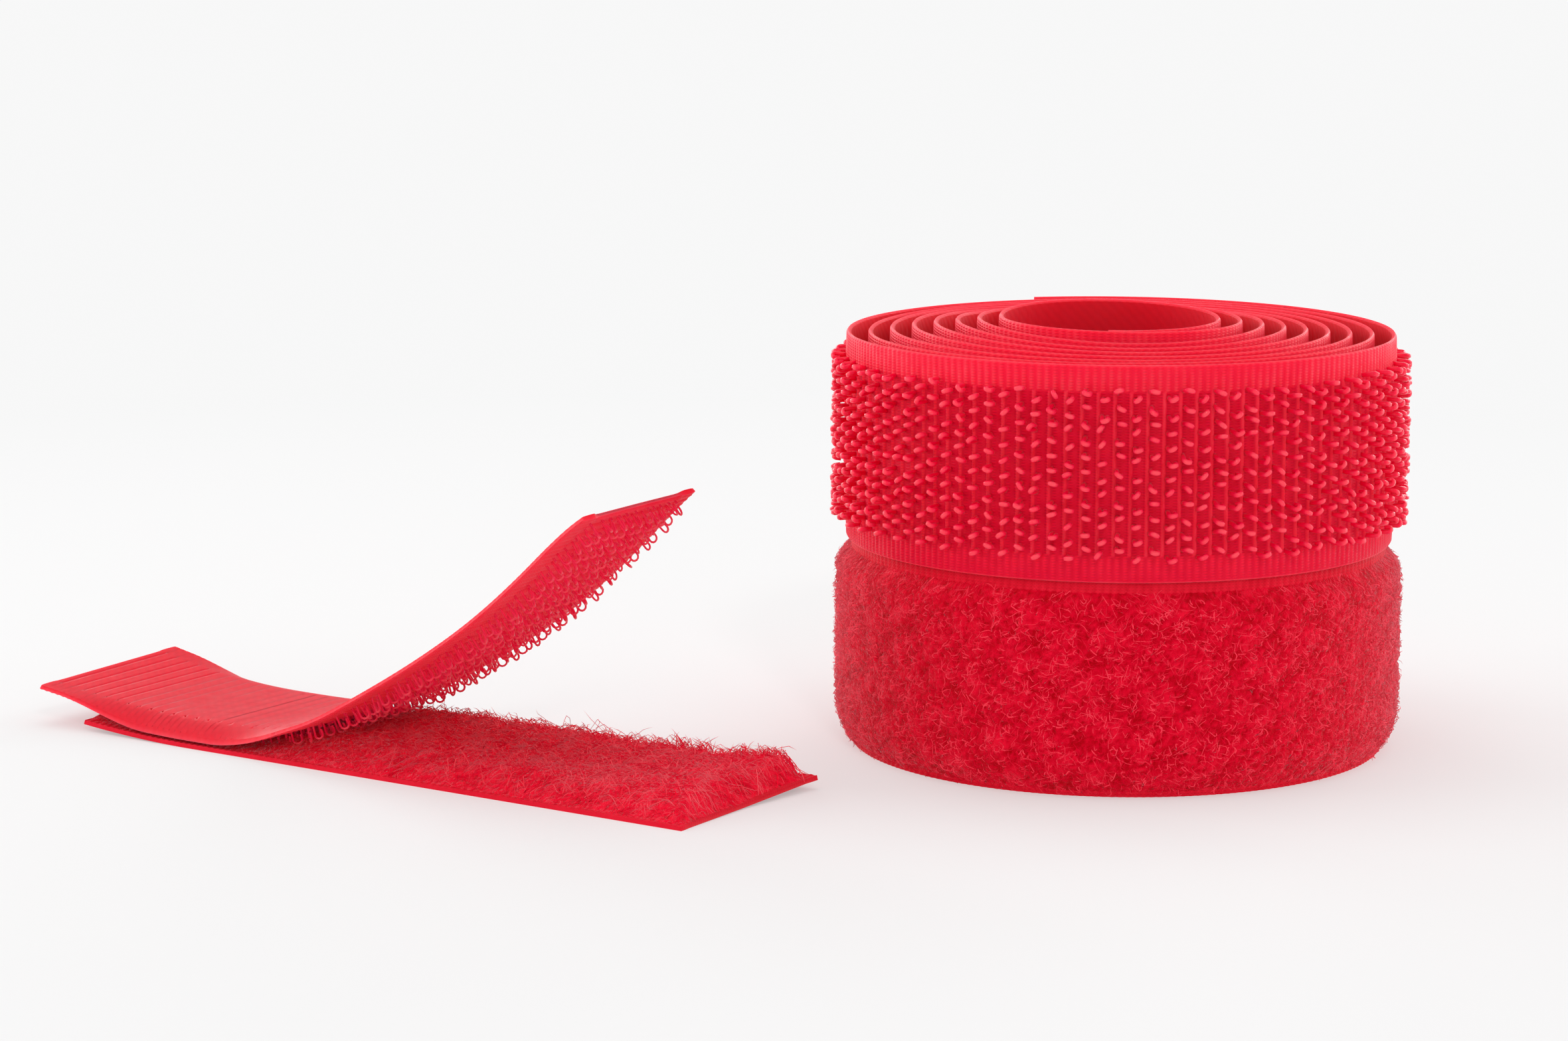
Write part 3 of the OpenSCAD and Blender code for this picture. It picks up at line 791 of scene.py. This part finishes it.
def nap(name, surface, area, density, height, seed,
        loose=0.2, fibre=0.06, long=1.0, lift=1.0, shade=0.1, combed=0, rings=3):
    """Brushed loops scattered over a flat area (start, end, low, high), so many to the square millimetre."""
    draw = np.random.default_rng(seed)
    start, end, low, high = area
    count = int((end - start) * (high - low) / MM ** 2 * density)
    foot_u, foot_v = draw.uniform(start, end, (count, 1)), draw.uniform(low, high, (count, 1))
    turn = draw.normal(0, combed, (count, 1)) if combed else draw.uniform(0, 2 * math.pi, (count, 1))
    length = draw.uniform(0.7, 1.7, (count, 1)) * long * MM
    rise = draw.uniform(0.15, 0.65, (count, 1)) * lift * MM
    stands = draw.uniform(0, 1, (count, 1)) < loose
    t = np.linspace(0, 1, rings + 2)[None]
    bow = draw.normal(0, 0.25, (count, 1)) * MM * np.sin(math.pi * t * draw.uniform(0.8, 2.2, (count, 1)))
    step = (t - 0.5) * length
    u = foot_u + step * np.cos(turn) - bow * np.sin(turn)
    v = np.clip(foot_v + step * np.sin(turn) + bow * np.cos(turn), low - 0.4 * MM, high + 0.4 * MM)
    up = np.where(stands, 1.3 * t ** 0.8, 1 - (2 * t - 1) ** 2)
    h = height(u, v) - 0.10 * MM + rise * up
    # Painted light and shade: fibres that rise little or stand in pits are tinted deeper, high ones and those
    # on lumps paler, and a few are painted pale all over as painted sparkle.
    painted_sparkle = draw.uniform(0, 1, count) < 0.06
    lump_light_and_shade = lumps(foot_u[:, 0], foot_v[:, 0]) / (0.11 * MM)
    tints = shade + 0.4 * rise[:, 0] / (0.65 * lift * MM) + 0.16 * lump_light_and_shade + draw.uniform(-0.1, 0.25, count)
    return strands(name, np.stack([u, v, h], 2), draw.uniform(0.75, 1.15, count) * fibre * MM,
                   np.where(painted_sparkle, 1.0, tints), surface)


edge_low, edge_high = 0.42 * MM, TAPE_WIDTH - BARE_TOP
cuts = np.linspace(loop_outer_from, loop_split, 5)
loop_naps = [nap(f"loop_roll_nap_{k + 1}", loop_path, (cuts[k], cuts[k + 1], edge_low, edge_high), 8.5,
                 roll_felt, 41 + k) for k in range(4)]
# The flecks are a thicker upper layer that starts from a paler tint: painted light.
FLECKS = {"fibre": 0.11, "long": 0.55, "lift": 1.1, "shade": 0.5}
loop_naps.append(nap("loop_roll_flecks", loop_path, (loop_outer_from, loop_split, edge_low, edge_high), 1.8,
                     roll_felt, 46, **FLECKS))
loop_tail_nap = nap("loop_roll_tail_nap", loop_path, (loop_split, loop_path.length, edge_low, edge_high), 9.5,
                    roll_felt, 45)
for piece in loop_naps + [loop_tail_nap]:
    dress(piece, roll_strand, crease=180, soft=0.65)

# %% [markdown]
# ## The strips
# Two cut pieces of the same tapes lie pressed together. Both curl up a little at the left, and on the right
# the hook strip has been peeled up: it leaves the loop strip in a smooth bend and rises in a long slope. A
# path is drawn as a list of slopes along the strip and added up into a curve. The strips are then laid on
# it as the rolls were, the hook strip upside down, with its hooks towards the table.

# %% Paths of the two strips
HELD = 28 * MM
HOOK_STRIP, LOOP_FROM, LOOP_TO = 75 * MM, 6 * MM, 78 * MM
CURL_FROM, CURL_RADIUS = 20 * MM, 130 * MM
peel_axis = np.array(joints["peel"]["axis"])
UP = np.array([0.0, 0.0, 1.0])
ACROSS = -peel_axis
ALONG = np.cross(ACROSS, UP)
BACK_FACE = joints["peel"]["pos_m"][2]
strip_corner = np.array(joints["peel"]["pos_m"]) - HELD * ALONG - TAPE_WIDTH / 2 * ACROSS - BACK_FACE * UP


def eased(x, start, end):
    """0 before start, 1 after end, smooth between."""
    t = np.clip((x - start) / (end - start), 0, 1)
    return t * t * (3 - 2 * t)


class StripPath:
    """A strip's curve along its length. Slopes are (place in mm, degrees); the far face is up or down."""

    def __init__(self, slopes, height, face):
        self.face = face
        self.a = np.linspace(-5, 85, 3601) * MM
        degrees = np.interp(self.a / MM, *zip(*slopes))
        window = np.ones(81) / 81
        smooth = np.convolve(np.pad(degrees, 40, mode="edge"), window, mode="valid")
        curl = -np.degrees((CURL_FROM - self.a) / CURL_RADIUS)
        self.slope = np.radians(np.where(self.a < CURL_FROM, curl, smooth))
        step = self.a[1] - self.a[0]
        x, z = np.cumsum(np.cos(self.slope)) * step, np.cumsum(np.sin(self.slope)) * step
        self.x = x - np.interp(CURL_FROM, self.a, x) + CURL_FROM
        self.z = z - np.interp(CURL_FROM, self.a, z) + height

    def at(self, x):
        """Length along the strip at a distance x from its left end."""
        return float(np.interp(x, self.x, self.a))

    def reach(self, a, w):
        return a

    def settle(self, a, w):
        """The far left corner stands a little higher than the near one."""
        return (0.6 * w / TAPE_WIDTH - 0.15) * MM * np.clip(1 - a / (18 * MM), 0, 1.3) ** 2

    def lay(self, flat):
        a, v, h = flat.T
        w = v if self.face > 0 else TAPE_WIDTH - v
        a = self.reach(a, w)
        x, z, slope = [np.interp(a, self.a, table) for table in (self.x, self.z, self.slope)]
        x = x - self.face * h * np.sin(slope)
        z = z + self.face * h * np.cos(slope) + self.settle(a, w)
        return strip_corner + x[:, None] * ALONG + w[:, None] * ACROSS + z[:, None] * UP


class LoopStrip(StripPath):
    """The far right corner of the loop strip is drawn out to a point and lifts off the table."""

    def reach(self, a, w):
        return a + 1.3 * MM * (w / TAPE_WIDTH) ** 5 * eased(a, 70 * MM, 78 * MM)

    def settle(self, a, w):
        return super().settle(a, w) + 0.9 * MM * (w / TAPE_WIDTH) ** 3 * eased(a, 68 * MM, 79 * MM)


class HookStrip(StripPath):
    """The selvedges droop over the loop strip's edges where it holds, and the peeled end is cut askew."""

    def reach(self, a, w):
        return a - 2.3 * MM * w / TAPE_WIDTH * eased(a, 50 * MM, 75 * MM)

    def settle(self, a, w):
        edge = np.clip(1 - from_edge(w) / (3.2 * MM), 0, 1) ** 2
        held = eased(a, 2 * MM, 14 * MM) * (1 - eased(a, 22 * MM, 33 * MM))
        twist = 1.1 * MM * w / TAPE_WIDTH * eased(a, 45 * MM, 75 * MM)
        return super().settle(a, w) - 1.45 * MM * edge * held + twist


peel_slopes = [(-5, 0), (24, 0), (26, 1), (28, 7), (31, 15), (34, 22), (38, 28.5), (46, 30.5), (54, 34),
               (62, 40), (68, 43), (72, 40), (75, 33), (85, 20)]
hook_strip_path = HookStrip(peel_slopes, BACK_FACE - GROUND / 2, -1)
loop_strip_path = LoopStrip([(-5, 0), (85, 0)], GROUND / 2, 1)
tip = hook_strip_path.lay(np.array([[HOOK_STRIP, TAPE_WIDTH, 0.0]]))[0]
print("peeled tip at", (tip / MM).round(1), "mm")

# %% Loop strip
STRIP_BARE = 0.2 * MM


def strip_felt(u, v):
    """The nap of the loop strip: pressed under the hooks, full where they let go, bare at the far corner."""
    near, far = (v - STRIP_BARE) / (4.5 * MM), (TAPE_WIDTH - 0.4 * MM - v) / (1.2 * MM)
    cut = (LOOP_TO - 0.2 * MM - u) / (2.6 * MM)
    corner = (np.hypot(LOOP_TO - u, TAPE_WIDTH - v) - 1.2 * MM) / (2.2 * MM)
    shoulder = rounded(np.minimum(np.minimum(near, far), np.minimum(cut, corner))) ** 1.3
    full = (0.5 + 1.35 * eased(u, 24 * MM, 38 * MM)) * MM
    return GROUND / 2 + shoulder * (full + lumps(u, v)) - (1 - shoulder) * 0.05 * MM


loop_strip = flat_tape("loop_strip", LOOP_FROM, LOOP_TO, columns_for(LOOP_FROM, LOOP_TO, RIB / 6),
                       across(0, 0.9, 1.3), loop_relief, GROUND)
# The rims get tint 0.3: painted shade.
tone_ground(loop_strip, loop_light_and_shade, 0.3)
felt_from, felt_to = LOOP_FROM + 0.1 * MM, LOOP_TO - 0.1 * MM
strip_nap_felt = flat_tape("loop_strip_felt", felt_from, felt_to, columns_for(felt_from, felt_to, 0.25 * MM),
                           felt_lines(0.2, 54), strip_felt)
# Painted shade and light by the lumps, as on the roll, from a paler start (0.8) as painted light.
store(strip_nap_felt, "tint", 0.8 + lumps(*points_of(strip_nap_felt.data).T[:2]) / (0.25 * MM))
lay(loop_strip, loop_strip_path)
lay(strip_nap_felt, loop_strip_path)
dress(loop_strip, loop_ground, ["loop_strip_tape"])
dress(strip_nap_felt, pile_felt, ["loop_strip_pile", "loop_strip_pressed_pile"])

# %% Fibres of the loop strip
# name: area in mm (start, end, low, high), fibres to the square millimetre, and what sets them apart
free_from = HELD / MM - 1
strip_naps = []
# The long fibres start from a paler tint (shade 0.4): painted light.
for name, area, density, look in [
        ("loop_strip_nap", (free_from, 77.6, 0.3, 19.4), 8.5, {"lift": 0.8}),
        ("loop_strip_long_fibres", (free_from + 2, 77.0, 1.4, 19.2), 2.5,
         {"fibre": 0.085, "long": 2.1, "lift": 1.2, "shade": 0.4, "combed": 0.7, "rings": 6}),
        ("loop_strip_held_nap_near", (6.5, free_from, 0.5, 3.2), 7.0, {"loose": 0.1, "lift": 0.7}),
        ("loop_strip_held_nap_far", (6.5, free_from, 17.0, 19.2), 7.0, {"loose": 0.1, "lift": 0.7}),
        ("loop_strip_fringe", (free_from + 3, 77.2, 17.6, 19.5), 7.0,
         {"loose": 0.5, "long": 1.5, "lift": 1.7}),
        ("loop_strip_tuft", (64.0, 68.0, 18.0, 19.6), 14.0, {"loose": 0.6, "long": 1.7, "lift": 2.6}),
        ("loop_strip_end_tuft", (71.5, 76.5, 15.5, 19.4), 9.0, {"loose": 0.6, "long": 1.8, "lift": 2.2}),
        ("loop_strip_strays", (free_from + 4, 76.0, 4.0, 19.5), 0.10,
         {"loose": 0.8, "long": 3.0, "lift": 3.6})]:
    piece = nap(name, loop_strip_path, [x * MM for x in area], density, strip_felt, 53 + len(strip_naps),
                **look)
    dress(piece, strip_strand, crease=180, soft=0.8)
    strip_naps.append(piece)

# %% [markdown]
# The hook strip bends at three hinge lines, so it is made in three pieces that meet in the middle of the
# stretches between them.

# %% Hook strip
hinges = []
for name in ("peel", "peel_second_bend", "peel_third_bend"):
    x = float((np.array(joints[name]["pos_m"]) - strip_corner) @ ALONG)
    hinges.append(hook_strip_path.at(x))
stretch = [0, (hinges[0] + hinges[1]) / 2, (hinges[1] + hinges[2]) / 2, HOOK_STRIP]
strip_lines = across(0, 0.2, 0.7, 1.3, 1.9, 2.3, 2.6, 3.3)
hook_strips, strip_hooks = [], []
stands_for = [(["hook_strip_tape", "peel_root_tape"], ["hook_strip_held_hooks", "peel_root_hooks"]),
              (["peel_bend_tape"], ["peel_bend_hooks"]), (["peel_end_tape"], ["peel_end_hooks"])]
parts = zip(("held", "bend", "free"), stretch[:-1], stretch[1:], stands_for, (61, 62, 63))
for part, start, end, (tape_nodes, hook_nodes), seed in parts:
    tape = flat_tape("hook_strip_" + part, start, end, columns_for(start, end, COLUMN / 12), strip_lines,
                     hook_relief, GROUND)
    # The strip's hooks start from a paler tint (0.30) than the roll's: painted light on the flap's shaded
    # underside.
    field = hook_field("hook_strip_" + part + "_hooks", max(start, LOOP_FROM + 0.5 * MM), end,
                       thin_hook, seed, shade=0.30)
    # The rims get tint 1.0: a painted highlight on the cut edges.
    tone_ground(tape, strip_tone, 1.0)
    lay(tape, hook_strip_path)
    lay(field, hook_strip_path)
    dress(tape, hook_ground, tape_nodes)
    dress(field, hook_strand, hook_nodes, crease=180, soft=0.4)
    hook_strips.append(tape)
    strip_hooks.append(field)
print("hinge lines at", [round(a / MM, 2) for a in hinges], "mm along the hook strip")

# %% [markdown]
# ## What moves with what
# The rolls and the loop strip are separate things, so the rolls' main pieces and the loop strip with its nap
# each ride on a body of their own. For the outer end of each roll and the three pieces of the hook strip,
# bend_at works out a bend a few millimetres either side of its hinge, the last one of the strip over a longer
# stretch, but it only bakes their places into their points.

# %% Bodies
for piece in [hook_inner, hook_outer, outer_hooks, inner_hooks]:
    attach(piece, "hook_roll")
for part in ("inner_turns", "outer_turn"):
    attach(loop_tapes[part], "loop_roll")
    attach(loop_felts[part], "loop_roll")
for piece in loop_naps:
    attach(piece, "loop_roll")
for piece in [loop_strip, strip_nap_felt] + strip_naps:
    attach(piece, "strip_pair")


def bend_at(pieces, path, start, end):
    """Works out where a bend on the path starts and ends, but does not use it: only bakes each piece's place
    into its points.
    """
    ends = path.lay(np.array([[start, TAPE_WIDTH / 2, 0.0], [end, TAPE_WIDTH / 2, 0.0]]))
    for piece in pieces:
        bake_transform(piece)


bend_at([hook_tail, tail_hooks], hook_path, hook_hinge - TAIL_BEND, hook_hinge + TAIL_BEND)
bend_at([loop_tapes["tail"], loop_felts["tail"], loop_tail_nap], loop_path, loop_hinge - TAIL_BEND,
        loop_hinge + TAIL_BEND)
BEND_REACH, LAST_BEND_TO = 1.8 * MM, 62 * MM
bend_ends = [hinges[0] + BEND_REACH, hinges[1] + BEND_REACH, LAST_BEND_TO]
for k in range(3):
    bend_at([hook_strips[k], strip_hooks[k]], hook_strip_path, hinges[k] - BEND_REACH, bend_ends[k])
